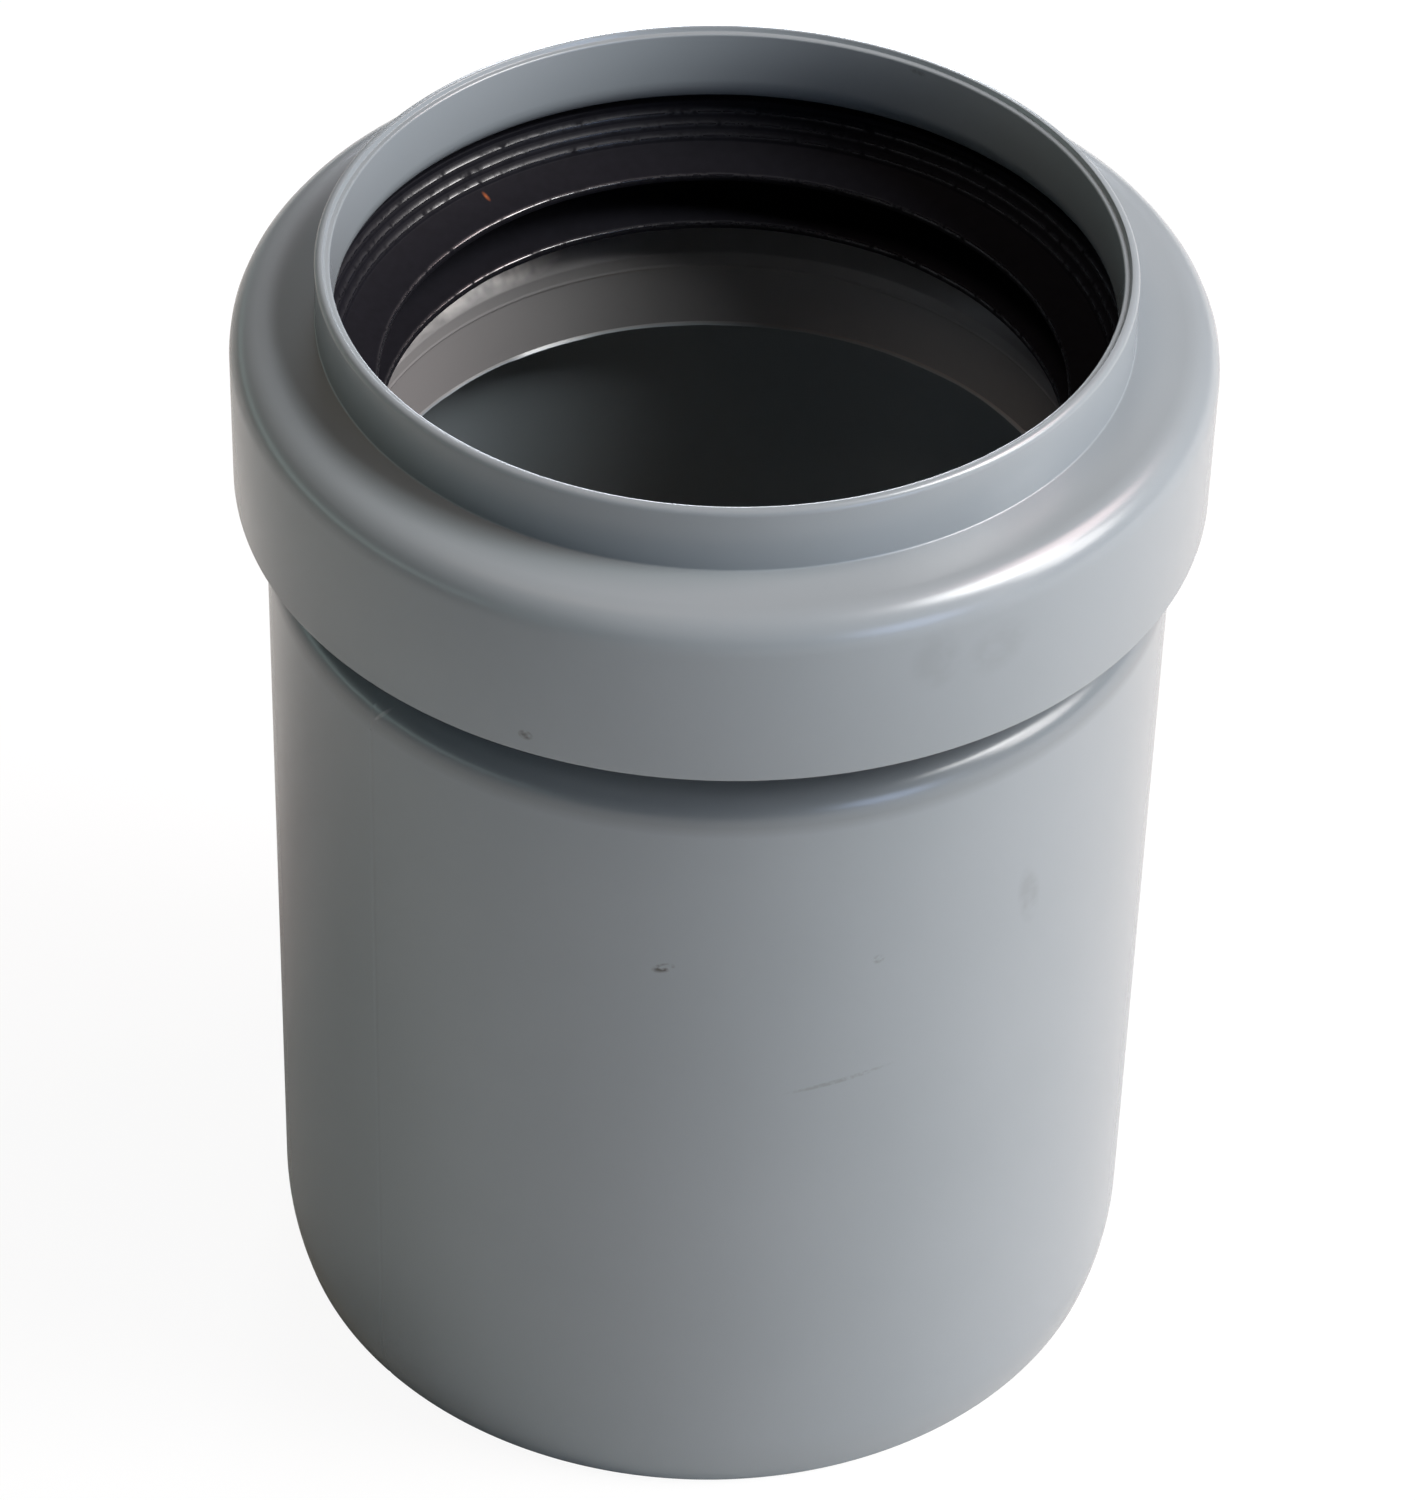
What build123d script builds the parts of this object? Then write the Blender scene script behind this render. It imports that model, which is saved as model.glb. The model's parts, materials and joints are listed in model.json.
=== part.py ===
"""Push-fit waste pipe reducer: a moulded body with a plain spigot end and a smaller socket, and its lip seal.

Millimetres, +Z up, standing on the spigot end. The origin is the centre of that end.
Both pieces are turned about Z from their half sections, which are drawn as (radius, height) corners.
"""
import os
from math import radians, tan

from build123d import *

# Pipes that the reducer joins
spigot_diameter = 50.0
pipe_diameter = 40.0

# Spigot end, which goes into the socket of the larger pipe
spigot_length = 52.5
spigot_wall = 1.8
bore_draft_angle = 0.4
lead_in_length = 2.1
lead_in_angle = 15.0

# Shoulder between spigot and neck
shoulder_wall = 2.6
shoulder_round = 1.65
bore_end_round = 1.2

# Neck, which guides the smaller pipe below the seal
neck_wall = 1.8
neck_clearance = 0.2
neck_height = 3.0
neck_lead_in_length = 1.8
neck_lead_in_angle = 35.0

# Bead around the seal, and the upright lip of the mouth
housing_wall = 1.3
bead_edge_round = 2.0
mouth_clearance = 1.0
mouth_corner_round = 1.8
lip_wall = 1.05
lip_height = 3.8
rim_outer_round = 0.5
rim_inner_round = 0.2

# Lip seal
seal_width = 5.3
seal_height = 7.6
seal_clearance = 0.1
ring_width = 3.4
ridge_count = 3
ridge_start = 0.3
ridge_pitch = 0.6
ridge_height = 0.25
ring_face_slope = 0.55
lip_squeeze = 1.3
lip_tip = 0.4
main_lip_drop = 2.9
main_lip_root = 1.3
second_lip_rise = 1.4
second_lip_root = 1.9
web_width = 3.7
seal_foot_width = 3.8
seal_foot_height = 0.4

# Radii worked out from the pipes
spigot_r = spigot_diameter / 2
bore_r = spigot_r - spigot_wall
pipe_r = pipe_diameter / 2
neck_bore_r = pipe_r + neck_clearance
neck_r = neck_bore_r + neck_wall
mouth_r = pipe_r + mouth_clearance
lip_r = mouth_r + lip_wall
seal_r = pipe_r + seal_width
groove_r = seal_r + seal_clearance
bead_r = groove_r + housing_wall

# Heights, from the spigot end up to the rim
shoulder_z = spigot_length
neck_end_z = shoulder_z - shoulder_wall
bead_bottom_z = shoulder_z + neck_height
groove_floor_z = bead_bottom_z + housing_wall
seal_top_z = groove_floor_z + seal_height
groove_ceiling_z = seal_top_z + seal_clearance
bead_top_z = groove_ceiling_z + housing_wall
rim_z = bead_top_z + lip_height

# The core that forms the bore narrows towards the shoulder; spigot end and neck are coned for easy entry
bore_end_r = bore_r - neck_end_z * tan(radians(bore_draft_angle))
lead_in_r = spigot_r - lead_in_length * tan(radians(lead_in_angle))
neck_lead_in_z = groove_floor_z - neck_lead_in_length
neck_lead_in_r = neck_bore_r + neck_lead_in_length * tan(radians(neck_lead_in_angle))

# Each rounding is limited by the wall or step that it lies on
largest_share = 0.9
shoulder_round_r = min(shoulder_round, largest_share * abs(spigot_r - neck_r))
bore_end_round_r = min(bore_end_round, largest_share * abs(bore_end_r - neck_bore_r))
rim_share = min(1, largest_share * lip_wall / (rim_outer_round + rim_inner_round))


def half_section(corners):
    """Closed outline through corners given as (radius, height, rounding)."""
    FilletPolyline(
        *[(radius, height) for radius, height, rounding in corners],
        radius=[rounding for radius, height, rounding in corners],
        close=True,
    )


outside = [
    (0, 0, 0),
    (lead_in_r, 0, 0),
    (spigot_r, lead_in_length, 0),
    (spigot_r, shoulder_z, shoulder_round_r),
    (neck_r, shoulder_z, 0),
    (neck_r, bead_bottom_z, 0),
    (bead_r, bead_bottom_z, 0),
    (bead_r, bead_top_z, bead_edge_round),
    (lip_r, bead_top_z, 0),
    (lip_r, rim_z, rim_share * rim_outer_round),
    (0, rim_z, 0),
]

waterway = [
    (0, 0, 0),
    (bore_r, 0, 0),
    (bore_end_r, neck_end_z, bore_end_round_r),
    (neck_bore_r, neck_end_z, 0),
    (neck_bore_r, neck_lead_in_z, 0),
    (neck_lead_in_r, groove_floor_z, 0),
    (groove_r, groove_floor_z, 0),
    (groove_r, groove_ceiling_z, 0),
    (mouth_r, groove_ceiling_z, mouth_corner_round),
    (mouth_r, rim_z, 0),
    (0, rim_z, 0),
]

# Moulded body: the outside is turned solid, then the waterway with its seal groove is cut through it
with BuildPart() as reducer_body:
    with BuildSketch(Plane.XZ):
        with BuildLine():
            half_section(outside)
        make_face()
    revolve(axis=Axis.Z)
    with BuildSketch(Plane.XZ):
        with BuildLine():
            half_section(waterway)
        make_face()
    revolve(axis=Axis.Z, mode=Mode.SUBTRACT)
    rim_edges = reducer_body.edges().filter_by(GeomType.CIRCLE).group_by(Axis.Z)[-1]
    fillet(rim_edges.sort_by(SortBy.RADIUS)[0], radius=rim_share * rim_inner_round)

reducer_body.part.label = "reducer_body"

# Upper ring of the seal: its sloped inner face carries fine ridges, one under the other
ring_r = seal_r - ring_width
ring_face_z = seal_top_z - ridge_start
ridges = []
for ridge in range(ridge_count):
    ridge_top_z = ring_face_z - ridge * ridge_pitch
    base_r = ring_r - ring_face_slope * ridge * ridge_pitch
    ridges += [(base_r, ridge_top_z), (base_r - ridge_height, ridge_top_z - ridge_pitch / 2)]
ring_foot_z = ring_face_z - ridge_count * ridge_pitch
ring_foot_r = ring_r - ring_face_slope * ridge_count * ridge_pitch

# Both lips end inside the pipe's surface, so that they bend against the pipe
lip_tip_r = pipe_r - lip_squeeze
main_tip_z = seal_top_z - main_lip_drop
second_tip_z = groove_floor_z + second_lip_rise

# Web that joins the lips at the back, and the foot that stands on the groove's floor
web_r = seal_r - web_width
seal_foot_r = seal_r - seal_foot_width
seal_foot_z = groove_floor_z + seal_foot_height
web_top_z = ring_foot_z - main_lip_root
web_bottom_z = seal_foot_z + second_lip_root

seal_section = [
    (seal_r, groove_floor_z),
    (seal_r, seal_top_z),
    (ring_r, seal_top_z),
    *ridges,
    (ring_foot_r, ring_foot_z),
    (lip_tip_r, main_tip_z),
    (lip_tip_r, main_tip_z - lip_tip),
    (web_r, web_top_z),
    (web_r, web_bottom_z),
    (lip_tip_r, second_tip_z),
    (lip_tip_r, second_tip_z - lip_tip),
    (seal_foot_r, seal_foot_z),
    (seal_foot_r, groove_floor_z),
]

# Rubber ring, lying on the floor of the groove
with BuildPart() as lip_seal:
    with BuildSketch(Plane.XZ):
        with BuildLine():
            Polyline(*seal_section, close=True)
        make_face()
    revolve(axis=Axis.Z)

lip_seal.part.label = "lip_seal"

os.makedirs("parts", exist_ok=True)
export_step(reducer_body.part, "parts/reducer_body.step")
export_step(lip_seal.part, "parts/lip_seal.step")
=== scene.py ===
"""Looks of a push-fit waste pipe reducer: a moulded grey body with a black lip seal, on a white table."""
import json
import math

import bmesh
import bpy
from mathutils import Euler, Matrix, Vector


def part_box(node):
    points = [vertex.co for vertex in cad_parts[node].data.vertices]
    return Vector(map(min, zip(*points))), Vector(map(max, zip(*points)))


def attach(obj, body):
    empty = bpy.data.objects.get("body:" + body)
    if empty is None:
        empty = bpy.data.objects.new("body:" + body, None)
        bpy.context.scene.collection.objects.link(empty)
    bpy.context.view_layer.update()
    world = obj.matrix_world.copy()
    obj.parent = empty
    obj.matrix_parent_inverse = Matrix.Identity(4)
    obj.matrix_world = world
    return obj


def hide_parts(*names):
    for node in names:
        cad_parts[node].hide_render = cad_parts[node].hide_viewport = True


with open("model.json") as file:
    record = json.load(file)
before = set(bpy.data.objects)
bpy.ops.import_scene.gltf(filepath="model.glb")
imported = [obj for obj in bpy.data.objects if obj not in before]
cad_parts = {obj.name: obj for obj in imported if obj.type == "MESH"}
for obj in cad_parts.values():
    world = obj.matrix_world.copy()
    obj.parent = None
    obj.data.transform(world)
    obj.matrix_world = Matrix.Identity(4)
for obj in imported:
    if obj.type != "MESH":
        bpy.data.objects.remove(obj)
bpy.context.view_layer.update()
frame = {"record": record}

# Reducer body
# One injection moulding in grey PVC-U: spigot end, rounded shoulder, neck, bead around the seal, upright lip.
# Two mould halves form the outside and leave a fine parting line down each side. Two cores form the inside
# and leave a thin flash where they meet, at the lower end of the neck, torn along one stretch.

MM = 0.001
mount_r = {mount["name"]: mount["dims"].get("r_mm") for mount in frame["record"]["mounts"]}
body_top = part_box("reducer_body")[1] / MM
seal_foot, seal_top = (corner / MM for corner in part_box("lip_seal"))

# Walls and clearances in millimetres, angles in degrees
seal_gap = 0.1
lip_wall = 1.05
mouth_clearance = 1.0
neck_clearance = 0.2
neck_wall = 1.8
neck_height = 3.0
neck_lead_in_length = 1.8
neck_lead_in_angle = 35.0
shoulder_wall = 2.6
spigot_wall = 1.8
bore_draft_angle = 0.4
spigot_lead_in_length = 2.1
spigot_lead_in_angle = 15.0

# Roundings
sharp_edge = 0.05
broken_edge = 0.15
inner_corner = 0.25
groove_corner = 0.4
lead_in_blend = 14.0
shoulder_round = 1.65
bead_foot_round = 0.25
bead_edge_round = 2.0
lip_root_round = 0.1
mouth_corner_round = 1.8
bore_end_round = 1.2

# Radii and heights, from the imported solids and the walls
spigot_r = mount_r["spigot"]
mouth_r = mount_r["socket_mouth"]
pipe_r = mouth_r - mouth_clearance
bead_r = body_top.x
rim_z = body_top.z
seal_r = seal_top.x
groove_r = seal_r + seal_gap
groove_floor_z = seal_foot.z
groove_ceiling_z = seal_top.z + seal_gap
housing_wall = bead_r - groove_r
bead_bottom_z = groove_floor_z - housing_wall
bead_top_z = groove_ceiling_z + housing_wall
lip_r = mouth_r + lip_wall
neck_bore_r = pipe_r + neck_clearance
neck_r = neck_bore_r + neck_wall
neck_lead_in_r = neck_bore_r + neck_lead_in_length * math.tan(math.radians(neck_lead_in_angle))
neck_lead_in_z = groove_floor_z - neck_lead_in_length
shoulder_z = bead_bottom_z - neck_height
neck_end_z = shoulder_z - shoulder_wall
bore_r = spigot_r - spigot_wall
bore_end_r = bore_r - neck_end_z * math.tan(math.radians(bore_draft_angle))
spigot_end_r = spigot_r - spigot_lead_in_length * math.tan(math.radians(spigot_lead_in_angle))

# The rim has a round outer edge and a low step inside, and the mouth widens a little towards it
rim_round = 0.35
rim_crest_r = mouth_r + 0.6
rim_step_r = mouth_r + 0.5
rim_step = 0.25
rim_inner_round = 0.12
mouth_flare = 0.2

# Painted shade in the gap under the bead, thinner on the shoulder and gone a little way below it
gap_painted_shade = 0.4
shoulder_painted_shade = 0.25
painted_shade_fade = 2.4

# Fine marks of the cores inside the neck
turned_line_z = neck_lead_in_z - 0.9
turned_line_height = 0.04
turned_line_width = 0.3
flash_height = 0.17
torn_flash_height = 0.1
flash_width = 0.22


def zone(corners, parting=0.0, waviness=0.0, film=0.0, painted_shade=0.0):
    """Corners of one stretch of a half section, as radius, height and rounding, with its shares."""
    return [(*corner, parting, waviness, film, painted_shade) for corner in corners]


body_section = [
    *zone([
        (spigot_end_r, 0.0, broken_edge),
        (spigot_r, spigot_lead_in_length, lead_in_blend),
        (spigot_r, shoulder_z - painted_shade_fade, sharp_edge),
    ], parting=1.0),
    *zone([(spigot_r, shoulder_z, shoulder_round)], parting=1.0, painted_shade=shoulder_painted_shade),
    *zone([
        (neck_r, shoulder_z, inner_corner),
        (neck_r, bead_bottom_z, inner_corner),
    ], painted_shade=gap_painted_shade),
    *zone([
        (bead_r, bead_bottom_z, bead_foot_round),
        (bead_r, bead_top_z, bead_edge_round),
        (lip_r, bead_top_z, lip_root_round),
        (lip_r, rim_z, rim_round),
        (rim_crest_r, rim_z, sharp_edge),
        (rim_step_r, rim_z - rim_step, sharp_edge),
        (mouth_r + mouth_flare, rim_z - rim_step, rim_inner_round),
        (mouth_r, groove_ceiling_z, mouth_corner_round),
        (groove_r, groove_ceiling_z, groove_corner),
        (groove_r, groove_floor_z, groove_corner),
    ]),
    *zone([
        (neck_lead_in_r, groove_floor_z, inner_corner),
        (neck_bore_r, neck_lead_in_z, inner_corner),
        (neck_bore_r, turned_line_z + turned_line_width / 2, sharp_edge),
        (neck_bore_r - turned_line_height, turned_line_z, sharp_edge),
        (neck_bore_r, turned_line_z - turned_line_width / 2, sharp_edge),
        (neck_bore_r, neck_end_z + flash_width, sharp_edge),
    ], film=1.0),
    *zone([
        (neck_bore_r - flash_height, neck_end_z + flash_width / 3, sharp_edge),
        (neck_bore_r - flash_height, neck_end_z, sharp_edge),
    ], waviness=1.0),
    *zone([
        (bore_end_r, neck_end_z, bore_end_round),
        (bore_r, 0.0, broken_edge),
    ]),
]


def add(tree, kind, inputs=None, **settings):
    """A new node of that kind; its inputs are plain values, or sockets to link from."""
    node = tree.nodes.new(kind)
    for name, value in settings.items():
        setattr(node, name, value)
    for name, value in (inputs or {}).items():
        if isinstance(value, bpy.types.NodeSocket):
            tree.links.new(value, node.inputs[name])
        else:
            node.inputs[name].default_value = value
    return node


def turning_tree():
    """Node tree that rounds the corners of a half section and turns it about Z.

    The steps crowd towards the parting plane, where the mould halves leave a ridge. A soft edge gets wavy,
    and is torn back to both sides of the tear angle.
    """
    tree = bpy.data.node_groups.new("turned_half_section", "GeometryNodeTree")
    sockets = (
        ("Half Section", "NodeSocketGeometry"),
        ("Corner Steps", "NodeSocketInt"),
        ("Turning Steps", "NodeSocketInt"),
        ("Path Radius", "NodeSocketFloat"),
        ("Parting Angle", "NodeSocketFloat"),
        ("Parting Normal", "NodeSocketVector"),
        ("Crowding", "NodeSocketFloat"),
        ("Ridge Height", "NodeSocketFloat"),
        ("Ridge Width", "NodeSocketFloat"),
        ("Wave Height", "NodeSocketFloat"),
        ("Wave Length", "NodeSocketFloat"),
        ("Tear Angle", "NodeSocketFloat"),
        ("Tear Half Angle", "NodeSocketFloat"),
        ("Tear Depth", "NodeSocketFloat"),
        ("Material", "NodeSocketMaterial"),
    )
    for name, kind in sockets:
        tree.interface.new_socket(name, in_out="INPUT", socket_type=kind)
    tree.interface.new_socket("Turned", in_out="OUTPUT", socket_type="NodeSocketGeometry")
    size = add(tree, "NodeGroupInput").outputs

    # Rounded half section, laid flat and moved in by the radius of the path that it follows
    outline = add(tree, "GeometryNodeMeshToCurve", {"Mesh": size["Half Section"]})
    rounding = add(tree, "GeometryNodeInputNamedAttribute", {"Name": "rounding"}, data_type="FLOAT")
    rounded = add(tree, "GeometryNodeFilletCurve", {
        "Curve": outline.outputs["Curve"],
        "Count": size["Corner Steps"],
        "Radius": rounding.outputs["Attribute"],
        "Limit Radius": True,
    }, mode="POLY")
    inwards = add(tree, "ShaderNodeMath", {0: size["Path Radius"], 1: -1.0}, operation="MULTIPLY")
    shift = add(tree, "ShaderNodeCombineXYZ", {"X": inwards.outputs[0]})
    flat = add(tree, "GeometryNodeTransform", {
        "Geometry": rounded.outputs["Curve"],
        "Translation": shift.outputs["Vector"],
        "Rotation": Euler((math.pi / 2, 0, 0)),
    })
    path = add(tree, "GeometryNodeCurvePrimitiveCircle", {
        "Resolution": size["Turning Steps"],
        "Radius": size["Path Radius"],
    })
    turned = add(tree, "GeometryNodeCurveToMesh", {
        "Curve": path.outputs["Curve"],
        "Profile Curve": flat.outputs["Geometry"],
    })

    # Each step turns a little towards the parting plane
    place = add(tree, "GeometryNodeInputPosition").outputs["Position"]
    part = add(tree, "ShaderNodeSeparateXYZ", {"Vector": place})
    angle = add(tree, "ShaderNodeMath", {0: part.outputs["Y"], 1: part.outputs["X"]}, operation="ARCTAN2")
    from_plane = add(tree, "ShaderNodeMath", {
        0: angle.outputs[0],
        1: size["Parting Angle"],
    }, operation="SUBTRACT")
    doubled = add(tree, "ShaderNodeMath", {0: from_plane.outputs[0], 1: 2.0}, operation="MULTIPLY")
    swing = add(tree, "ShaderNodeMath", {0: doubled.outputs[0]}, operation="SINE")
    turn = add(tree, "ShaderNodeMath", {0: swing.outputs[0], 1: size["Crowding"]}, operation="MULTIPLY")
    back = add(tree, "ShaderNodeMath", {0: turn.outputs[0], 1: -0.5}, operation="MULTIPLY")
    crowded_place = add(tree, "ShaderNodeVectorRotate", {
        "Vector": place,
        "Angle": back.outputs[0],
    }, rotation_type="Z_AXIS")
    crowded = add(tree, "GeometryNodeSetPosition", {
        "Geometry": turned.outputs["Mesh"],
        "Position": crowded_place.outputs["Vector"],
    })

    # Ridge along the parting plane
    parting = add(tree, "GeometryNodeInputNamedAttribute", {"Name": "parting"}, data_type="FLOAT")
    offset = add(tree, "ShaderNodeVectorMath", {
        0: place,
        1: size["Parting Normal"],
    }, operation="DOT_PRODUCT")
    distance = add(tree, "ShaderNodeMath", {0: offset.outputs["Value"]}, operation="ABSOLUTE")
    ridge = add(tree, "ShaderNodeMapRange", {
        "Value": distance.outputs[0],
        "From Min": 0.0,
        "From Max": size["Ridge Width"],
        "To Min": size["Ridge Height"],
        "To Max": 0.0,
    }, interpolation_type="SMOOTHSTEP")
    rise = add(tree, "ShaderNodeMath", {
        0: ridge.outputs["Result"],
        1: parting.outputs["Attribute"],
    }, operation="MULTIPLY")
    normal = add(tree, "GeometryNodeInputNormal")
    ridge_move = add(tree, "ShaderNodeVectorMath", {
        0: normal.outputs["Normal"],
        "Scale": rise.outputs[0],
    }, operation="SCALE")

    # Waviness of a soft or thin edge
    waviness = add(tree, "GeometryNodeInputNamedAttribute", {"Name": "waviness"}, data_type="FLOAT")
    frequency = add(tree, "ShaderNodeMath", {0: 1.0, 1: size["Wave Length"]}, operation="DIVIDE")
    noise = add(tree, "ShaderNodeTexNoise", {"Vector": place, "Scale": frequency.outputs[0], "Detail": 2.0})
    centred = add(tree, "ShaderNodeVectorMath", {
        0: noise.outputs["Color"],
        1: (0.5, 0.5, 0.5),
    }, operation="SUBTRACT")
    depth = add(tree, "ShaderNodeMath", {
        0: waviness.outputs["Attribute"],
        1: size["Wave Height"],
    }, operation="MULTIPLY")
    wave_move = add(tree, "ShaderNodeVectorMath", {
        0: centred.outputs["Vector"],
        "Scale": depth.outputs[0],
    }, operation="SCALE")
    soft_move = add(tree, "ShaderNodeVectorMath", {
        0: ridge_move.outputs["Vector"],
        1: wave_move.outputs["Vector"],
    })

    # Stretch of the soft edge that is torn back to the wall behind it
    torn = add(tree, "ShaderNodeMath", {
        0: angle.outputs[0],
        1: size["Tear Angle"],
        2: size["Tear Half Angle"],
    }, operation="COMPARE")
    torn_share = add(tree, "ShaderNodeMath", {
        0: torn.outputs[0],
        1: waviness.outputs["Attribute"],
    }, operation="MULTIPLY")
    tear = add(tree, "ShaderNodeMath", {
        0: torn_share.outputs[0],
        1: size["Tear Depth"],
    }, operation="MULTIPLY")
    level_place = add(tree, "ShaderNodeVectorMath", {0: place, 1: (1.0, 1.0, 0.0)}, operation="MULTIPLY")
    outwards = add(tree, "ShaderNodeVectorMath", {0: level_place.outputs["Vector"]}, operation="NORMALIZE")
    tear_move = add(tree, "ShaderNodeVectorMath", {
        0: outwards.outputs["Vector"],
        "Scale": tear.outputs[0],
    }, operation="SCALE")
    move = add(tree, "ShaderNodeVectorMath", {
        0: soft_move.outputs["Vector"],
        1: tear_move.outputs["Vector"],
    })
    marked = add(tree, "GeometryNodeSetPosition", {
        "Geometry": crowded.outputs["Geometry"],
        "Offset": move.outputs["Vector"],
    })
    whole = add(tree, "GeometryNodeRealizeInstances", {"Geometry": marked.outputs["Geometry"]})
    finished = add(tree, "GeometryNodeSetMaterial", {
        "Geometry": whole.outputs["Geometry"],
        "Material": size["Material"],
    })
    add(tree, "NodeGroupOutput", {"Turned": finished.outputs["Geometry"]})
    return tree


# Edges that bend by more than this stay crisp
crease_angle = 30.0


def turned_piece(name, section, material, sizes):
    """A piece turned from the corners of its half section, in millimetres, as a plain mesh."""
    outline = bpy.data.meshes.new(name + "_section")
    loop = [(i, (i + 1) % len(section)) for i in range(len(section))]
    outline.from_pydata([(corner[0] * MM, 0, corner[1] * MM) for corner in section], loop, [])
    columns = list(zip(*section))
    shares = {
        "rounding": [rounding * MM for rounding in columns[2]],
        "parting": columns[3],
        "waviness": columns[4],
        "film": columns[5],
        "painted_shade": columns[6],
    }
    for share, values in shares.items():
        outline.attributes.new(share, "FLOAT", "POINT").data.foreach_set("value", values)
    piece = bpy.data.objects.new(name, outline)
    bpy.context.scene.collection.objects.link(piece)

    turning = piece.modifiers.new("turning", "NODES")
    turning.node_group = turning_group
    sizes = {**sizes, "Material": material, "Path Radius": section[0][0] * MM}
    for socket in turning_group.interface.items_tree:
        if socket.in_out == "INPUT" and socket.name in sizes:
            turning[socket.identifier] = sizes[socket.name]
    evaluated = piece.evaluated_get(bpy.context.evaluated_depsgraph_get())
    mesh = bpy.data.meshes.new_from_object(evaluated)
    piece.modifiers.remove(turning)
    piece.data = mesh
    bpy.data.meshes.remove(outline)

    shell = bmesh.new()
    shell.from_mesh(mesh)
    bmesh.ops.recalc_face_normals(shell, faces=shell.faces)
    shell.to_mesh(mesh)
    shell.free()
    mesh.shade_smooth()
    mesh.set_sharp_from_angle(angle=math.radians(crease_angle))
    return piece


def colour(code):
    """Linear colour of an sRGB hex code."""
    parts = [int(code[i:i + 2], 16) / 255 for i in (1, 3, 5)]
    return [c / 12.92 if c <= 0.04045 else ((c + 0.055) / 1.055) ** 2.4 for c in parts] + [1]


def new_material(name):
    """An empty material with its Principled shader linked to the output."""
    material = bpy.data.materials.new(name)
    material.use_nodes = True
    tree = material.node_tree
    tree.nodes.clear()
    shader = add(tree, "ShaderNodeBsdfPrincipled")
    add(tree, "ShaderNodeOutputMaterial", {"Surface": shader.outputs["BSDF"]})
    return material, tree, shader


def spot(tree, place, radius, angle, height, half_width, half_height, tilt):
    """Mask of a mark on a round wall, in degrees right of the front: 1 in its middle, 0 at its edge."""
    turn = math.radians(angle)
    local = add(tree, "ShaderNodeMapping", {
        "Vector": place,
        "Location": (radius * MM * math.sin(turn), -radius * MM * math.cos(turn), height * MM),
        "Rotation": (0, math.radians(-tilt), turn),
        "Scale": (half_width * MM, mark_depth * MM, half_height * MM),
    }, vector_type="TEXTURE")
    ball = add(tree, "ShaderNodeTexGradient", {"Vector": local.outputs["Vector"]}, gradient_type="SPHERICAL")
    return ball.outputs["Fac"]


# Moulded PVC-U: an even blue-grey with a satin skin, faintly cloudy where the melt flowed. Dried lubricant
# leaves a warm, glossier film in the neck, and pale patches on its entry are a painted highlight. The gap
# under the bead is darkened with painted shade, and handling has left a few dark specks, a scratch, a pale
# fleck and faint smudges.
grey_pvc, tree, shader = new_material("moulded_grey_pvc_u")
cloud_size = 14 * MM
grain_size = 0.5 * MM
mark_depth = 1.5
place = add(tree, "ShaderNodeTexCoord").outputs["Object"]
cloud = add(tree, "ShaderNodeTexNoise", {"Vector": place, "Scale": 1 / cloud_size, "Detail": 2.0})
tone = add(tree, "ShaderNodeMix", {
    "Factor": cloud.outputs["Fac"],
    "A": colour("#7a8286"),
    "B": colour("#81888c"),
}, data_type="RGBA")
film = add(tree, "ShaderNodeAttribute", attribute_name="film").outputs["Fac"]
filmed = add(tree, "ShaderNodeMix", {
    "Factor": film,
    "A": tone.outputs["Result"],
    "B": colour("#838282"),
}, data_type="RGBA")

# Painted shade: the colour darkens towards dark grey in the gap under the bead and on the shoulder, where
# little light reaches
painted_shade = add(tree, "ShaderNodeAttribute", attribute_name="painted_shade").outputs["Fac"]
shaded = add(tree, "ShaderNodeMix", {
    "Factor": painted_shade,
    "A": filmed.outputs["Result"],
    "B": colour("#2c2d2e"),
}, data_type="RGBA")

# Marks: wall radius, degrees right of the front, height, half width, half height, degrees of tilt, strength
specks = [
    (spigot_r, -5.3, 40.7, 0.7, 0.35, 20, 1.0),
    (spigot_r, 21.6, 40.3, 0.4, 0.35, 0, 0.4),
    (spigot_r, 17.4, 31.8, 3.4, 0.2, 8, 0.28),
    (bead_r, -21.3, 56.8, 0.45, 0.35, 0, 0.9),
    (mouth_r, 151.0, 69.0, 0.6, 0.2, 0, 0.35),
]
smudges = [
    (spigot_r, 44.0, 40.6, 0.9, 2.4, 8, 0.16),
    (bead_r, 25.0, 62.0, 1.6, 2.2, 0, 0.1),
    (bead_r, 33.0, 61.6, 2.2, 1.8, 20, 0.1),
]
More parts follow.
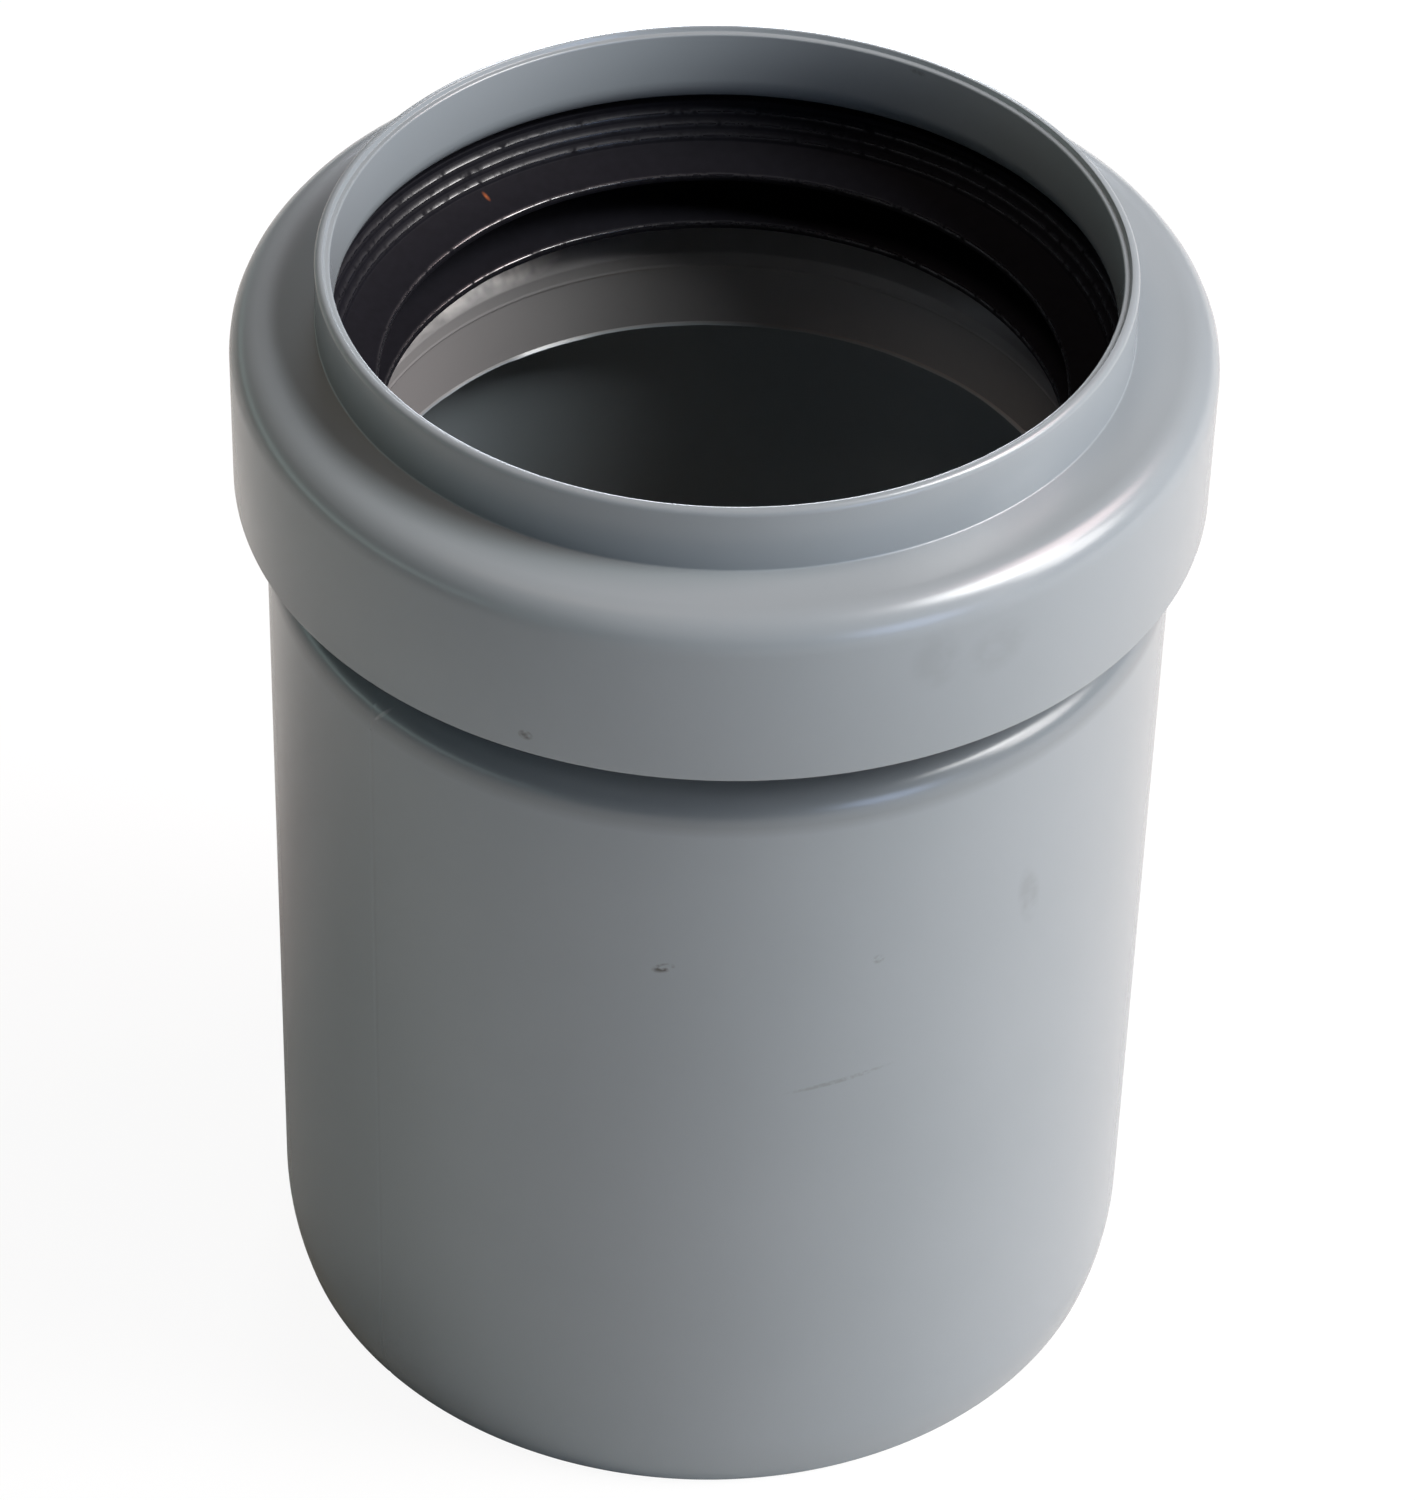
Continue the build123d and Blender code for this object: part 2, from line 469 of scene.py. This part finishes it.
# The first three pale patches on the neck's lead-in are a painted highlight in place of the lamps' reflection
# there; the last is a pale fleck on the shoulder
painted_highlights_and_fleck = [
    (neck_lead_in_r, -143.0, groove_floor_z - 1.2, 5.0, 1.2, 0, 0.8),
    (neck_lead_in_r, -130.0, groove_floor_z - 1.2, 5.0, 1.2, 0, 0.8),
    (neck_lead_in_r, -117.0, groove_floor_z - 1.2, 5.0, 1.2, 0, 0.6),
    (spigot_r, -45.1, 51.6, 0.8, 0.15, 50, 0.25),
]
surface = shaded.outputs["Result"]
mark_kinds = (
    (specks, 0.35 * MM, "#3f403e"),
    (smudges, 1.5 * MM, "#3f403e"),
    (painted_highlights_and_fleck, 1.5 * MM, "#f2eeea"),
)
for marks, patch_size, code in mark_kinds:
    noise = add(tree, "ShaderNodeTexNoise", {"Vector": place, "Scale": 1 / patch_size, "Detail": 2.0})
    patchy = add(tree, "ShaderNodeMapRange", {
        "Value": noise.outputs["Fac"],
        "From Min": 0.35,
        "From Max": 0.6,
    })
    for *where, strength in marks:
        mask = spot(tree, place, *where)
        faded = add(tree, "ShaderNodeMapRange", {"Value": mask, "From Max": 0.5, "To Max": strength})
        broken = add(tree, "ShaderNodeMath", {
            0: faded.outputs["Result"],
            1: patchy.outputs["Result"],
        }, operation="MULTIPLY")
        surface = add(tree, "ShaderNodeMix", {
            "Factor": broken.outputs[0],
            "A": surface,
            "B": colour(code),
        }, data_type="RGBA").outputs["Result"]
tree.links.new(surface, shader.inputs["Base Color"])

sheen = add(tree, "ShaderNodeMapRange", {"Value": cloud.outputs["Fac"], "To Min": 0.22, "To Max": 0.27})
gloss = add(tree, "ShaderNodeMapRange", {"Value": film, "To Min": sheen.outputs["Result"], "To Max": 0.2})
tree.links.new(gloss.outputs["Result"], shader.inputs["Roughness"])
grain = add(tree, "ShaderNodeTexNoise", {"Vector": place, "Scale": 1 / grain_size, "Detail": 2.0})
skin = add(tree, "ShaderNodeBump", {"Height": grain.outputs["Fac"], "Strength": 0.15, "Distance": 0.01 * MM})
tree.links.new(skin.outputs["Normal"], shader.inputs["Normal"])
shader.inputs["IOR"].default_value = 1.53

turning_group = turning_tree()
parting_angle = math.radians(-137.0)
reducer_body = turned_piece("moulded_body", body_section, grey_pvc, {
    "Corner Steps": 6,
    "Turning Steps": 384,
    "Parting Angle": parting_angle,
    "Parting Normal": Vector((-math.sin(parting_angle), math.cos(parting_angle), 0)),
    "Crowding": 0.85,
    "Ridge Height": 0.02 * MM,
    "Ridge Width": 0.2 * MM,
    "Wave Height": 0.15 * MM,
    "Wave Length": 4 * MM,
    "Tear Angle": math.radians(140),
    "Tear Half Angle": math.radians(13),
    "Tear Depth": (flash_height - torn_flash_height) * MM,
})
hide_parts("reducer_body")
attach(reducer_body, "root")

# Lip seal
# Moulded EPDM rubber ring, pressed into the groove of the bead: a ridged ring at the top, the main lip that
# grips the pipe, and a second lip below that keeps dirt out.

ring_width = 3.4
ridge_count = 3
ridge_start = 0.3
ridge_pitch = 0.6
ridge_height = 0.25
ring_face_slope = 0.55
lip_squeeze = 1.3
lip_tip = 0.4
main_lip_drop = 2.9
main_lip_root = 1.3
second_lip_rise = 1.4
second_lip_root = 1.9
web_width = 3.7
seal_foot_width = 3.8
seal_foot_height = 0.4
ridge_crest = 0.09
lip_edge = 0.1
gloss_width = 0.25

lip_tip_r = pipe_r - lip_squeeze
ring_r = seal_r - ring_width
web_r = seal_r - web_width
foot_r = seal_r - seal_foot_width
foot_z = groove_floor_z + seal_foot_height
main_tip_z = seal_top.z - main_lip_drop
second_tip_z = groove_floor_z + second_lip_rise
ring_foot_z = seal_top.z - ridge_start - ridge_count * ridge_pitch
ring_foot_r = ring_r - ring_face_slope * ridge_count * ridge_pitch
web_top_z = ring_foot_z - main_lip_root
web_bottom_z = foot_z + second_lip_root
gloss_r = lip_tip_r + gloss_width
main_gloss_z = main_tip_z + gloss_width * (ring_foot_z - main_tip_z) / (ring_foot_r - lip_tip_r)
second_gloss_z = second_tip_z + gloss_width * (web_bottom_z - second_tip_z) / (web_r - lip_tip_r)
ridges = []
for ridge in range(ridge_count):
    top_z = seal_top.z - ridge_start - ridge * ridge_pitch
    base_r = ring_r - ring_face_slope * ridge * ridge_pitch
    ridges += zone([(base_r, top_z, sharp_edge)], waviness=0.5)
    ridges += zone([(base_r - ridge_height, top_z - ridge_pitch / 2, ridge_crest)], waviness=1.0, film=1.0)

seal_section = [
    *zone([
        (seal_r, groove_floor_z, groove_corner),
        (seal_r, seal_top.z, groove_corner),
    ]),
    *zone([(ring_r, seal_top.z, lip_edge)], waviness=0.5),
    *ridges,
    *zone([
        (ring_foot_r, ring_foot_z, lip_edge),
        (gloss_r, main_gloss_z, sharp_edge),
    ], waviness=0.5),
    *zone([(lip_tip_r, main_tip_z, lip_edge)], waviness=1.0, film=1.0),
    *zone([(lip_tip_r, main_tip_z - lip_tip, lip_edge)], waviness=1.0),
    *zone([
        (web_r, web_top_z, groove_corner),
        (web_r, web_bottom_z, groove_corner),
    ]),
    *zone([(gloss_r, second_gloss_z, sharp_edge)], waviness=0.5),
    *zone([(lip_tip_r, second_tip_z, lip_edge)], waviness=1.0, film=1.0),
    *zone([(lip_tip_r, second_tip_z - lip_tip, lip_edge)], waviness=1.0),
    *zone([
        (foot_r, foot_z, lip_edge),
        (foot_r, groove_floor_z, sharp_edge),
    ]),
]

# Moulded EPDM: matt blue-black, with a broken gloss along the crests of its ridges and lips, and one rusty
# speck of grit on the main lip
black_rubber, tree, shader = new_material("moulded_epdm_rubber")
pore_size = 0.6 * MM
grit_r = 20.3
grit_angle = -138.0
grit_z = 62.1
grit_size = 0.15
place = add(tree, "ShaderNodeTexCoord").outputs["Object"]
pores = add(tree, "ShaderNodeTexNoise", {"Vector": place, "Scale": 1 / pore_size, "Detail": 2.0})
bloom = add(tree, "ShaderNodeMix", {
    "Factor": pores.outputs["Fac"],
    "A": colour("#101014"),
    "B": colour("#17171c"),
}, data_type="RGBA")
grit = spot(tree, place, grit_r, grit_angle, grit_z, grit_size, grit_size, 0)
gritty = add(tree, "ShaderNodeMix", {
    "Factor": grit,
    "A": bloom.outputs["Result"],
    "B": colour("#8a4c2c"),
}, data_type="RGBA")
tree.links.new(gritty.outputs["Result"], shader.inputs["Base Color"])
film = add(tree, "ShaderNodeAttribute", attribute_name="film").outputs["Fac"]
crest = add(tree, "ShaderNodeMath", {0: film, 1: 3.0}, operation="POWER")
patches = add(tree, "ShaderNodeMapRange", {"Value": pores.outputs["Fac"], "From Min": 0.3, "From Max": 0.5})
polish = add(tree, "ShaderNodeMath", {
    0: crest.outputs[0],
    1: patches.outputs["Result"],
}, operation="MULTIPLY")
gloss = add(tree, "ShaderNodeMapRange", {"Value": polish.outputs[0], "To Min": 0.6, "To Max": 0.2})
tree.links.new(gloss.outputs["Result"], shader.inputs["Roughness"])
relief = add(tree, "ShaderNodeBump", {
    "Height": pores.outputs["Fac"],
    "Strength": 0.5,
    "Distance": 0.03 * MM,
})
tree.links.new(relief.outputs["Normal"], shader.inputs["Normal"])
shine = add(tree, "ShaderNodeMapRange", {"Value": polish.outputs[0], "To Min": 0.06, "To Max": 1.0})
tree.links.new(shine.outputs["Result"], shader.inputs["Specular IOR Level"])
shader.inputs["IOR"].default_value = 1.5

lip_seal = turned_piece("rubber_lip_seal", seal_section, black_rubber, {
    "Corner Steps": 4,
    "Turning Steps": 512,
    "Ridge Width": 0.2 * MM,
    "Parting Normal": Vector((0, 1, 0)),
    "Wave Height": 0.06 * MM,
    "Wave Length": 3 * MM,
})
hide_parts("lip_seal")
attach(lip_seal, "root")

# Table top
# Laminate that the reducer stands on, running out of sight on every side. The photograph shows only white
# around the part: the camera sees white with a faint shadow, and the part gets the light of a dull table.

table_size = 4.0
table_white = 0.92
table_mesh = bpy.data.meshes.new("table_top")
reach = table_size / 2
table_corners = [(-reach, -reach, 0), (reach, -reach, 0), (reach, reach, 0), (-reach, reach, 0)]
table_mesh.from_pydata(table_corners, [], [(0, 1, 2, 3)])
table_top = bpy.data.objects.new("table_top", table_mesh)
bpy.context.scene.collection.objects.link(table_top)
dull_laminate, tree, shader = new_material("dull_laminate")
rays = add(tree, "ShaderNodeLightPath")
top_tone = add(tree, "ShaderNodeMix", {
    "Factor": rays.outputs["Is Camera Ray"],
    "A": colour("#c8c8c4"),
    "B": colour("#f4f4f4"),
}, data_type="RGBA")
tree.links.new(top_tone.outputs["Result"], shader.inputs["Base Color"])
shader.inputs["Roughness"].default_value = 0.6
share = add(tree, "ShaderNodeMath", {0: rays.outputs["Is Camera Ray"], 1: table_white}, operation="MULTIPLY")
white = add(tree, "ShaderNodeEmission", {"Color": colour("#ffffff"), "Strength": 1.0})
cover = add(tree, "ShaderNodeMixShader", {
    "Fac": share.outputs[0],
    1: shader.outputs["BSDF"],
    2: white.outputs["Emission"],
})
tree.links.new(cover.outputs["Shader"], tree.nodes["Material Output"].inputs["Surface"])
table_mesh.materials.append(dull_laminate)

# Light
# A studio: soft panels to the right, weaker panels behind and overhead, and a white sweep low on the left.

world = bpy.data.worlds.new("white_sweep")
bpy.context.scene.world = world
world.use_nodes = True
tree = world.node_tree
tree.nodes.clear()
sweep_level = 2.1
sweep_low = math.sin(math.radians(1))
sweep_high = math.sin(math.radians(12))
sweep_start_x = -0.4
sweep_full_x = -1.0
direction = add(tree, "ShaderNodeTexCoord").outputs["Generated"]
way = add(tree, "ShaderNodeSeparateXYZ", {"Vector": direction})
height = add(tree, "ShaderNodeMapRange", {
    "Value": way.outputs["Z"],
    "From Min": sweep_low,
    "From Max": sweep_high,
    "To Min": sweep_level,
    "To Max": 0.0,
})
leftness = add(tree, "ShaderNodeMapRange", {
    "Value": way.outputs["X"],
    "From Min": sweep_start_x,
    "From Max": sweep_full_x,
})
level = add(tree, "ShaderNodeMath", {
    0: height.outputs["Result"],
    1: leftness.outputs["Result"],
}, operation="MULTIPLY")
sweep = add(tree, "ShaderNodeBackground", {"Color": colour("#e4fffc"), "Strength": level.outputs[0]})
backdrop = add(tree, "ShaderNodeBackground", {"Color": colour("#ffffff"), "Strength": 1.0})
rays = add(tree, "ShaderNodeLightPath")
room = add(tree, "ShaderNodeMixShader", {
    "Fac": rays.outputs["Is Camera Ray"],
    1: sweep.outputs["Background"],
    2: backdrop.outputs["Background"],
})
add(tree, "ShaderNodeOutputWorld", {"Surface": room.outputs["Shader"]})

middle = Vector((0, 0, rim_z / 2 * MM))
panel_distance = 0.8
panel_size = 0.32

# Panels: name, degrees right of the front, degrees above the table, watts, colour, seen in gloss or not
panels = [
    ("key_panel", 80, 52, 5.6, "#ffffff", True),
    ("lower_key_panel", 85, 32, 3.1, "#fffcfb", True),
    ("rear_key_panel", 110, 52, 2.8, "#ffe4e4", True),
    ("low_panel", 60, 12, 2.5, "#fff6f2", False),
    ("front_panel", 40, 12, 1.2, "#c0d6ff", True),
    ("back_panel", 180, 12, 4.2, "#eef5ff", True),
    ("overhead_panel", 270, 74, 1.6, "#ffe8d6", False),
]
for name, turn, rise, power, code, shines_back in panels:
    lamp = bpy.data.lights.new(name, "AREA")
    lamp.shape = "DISK"
    lamp.size = panel_size
    lamp.energy = power
    lamp.color = colour(code)[:3]
    panel = bpy.data.objects.new(name, lamp)
    from_part = Euler((math.radians(-rise), 0, math.radians(turn))).to_matrix() @ Vector((0, -1, 0))
    panel.location = middle + panel_distance * from_part
    panel.rotation_euler = from_part.to_track_quat("Z", "Y").to_euler()
    panel.visible_glossy = shines_back
    bpy.context.scene.collection.objects.link(panel)

# Camera
# The photograph's view: from the front, looking down at about 41 degrees, with the part leaning a little.

camera_data = bpy.data.cameras.new("camera")
camera_data.sensor_width = 36.0
camera_data.lens = 144.95
camera = bpy.data.objects.new("camera", camera_data)
camera_place = Vector((0, -0.26116, 0.26010))
look_down = 40.8
heading = 0.067
lean = 1.665
aim = Euler((math.radians(90 - look_down), 0, math.radians(heading))).to_matrix()
aim = aim @ Matrix.Rotation(math.radians(lean), 3, "Z")
camera.matrix_world = Matrix.Translation(camera_place) @ aim.to_4x4()
bpy.context.scene.collection.objects.link(camera)
bpy.context.scene.camera = camera
bpy.context.scene.view_settings.view_transform = "Standard"
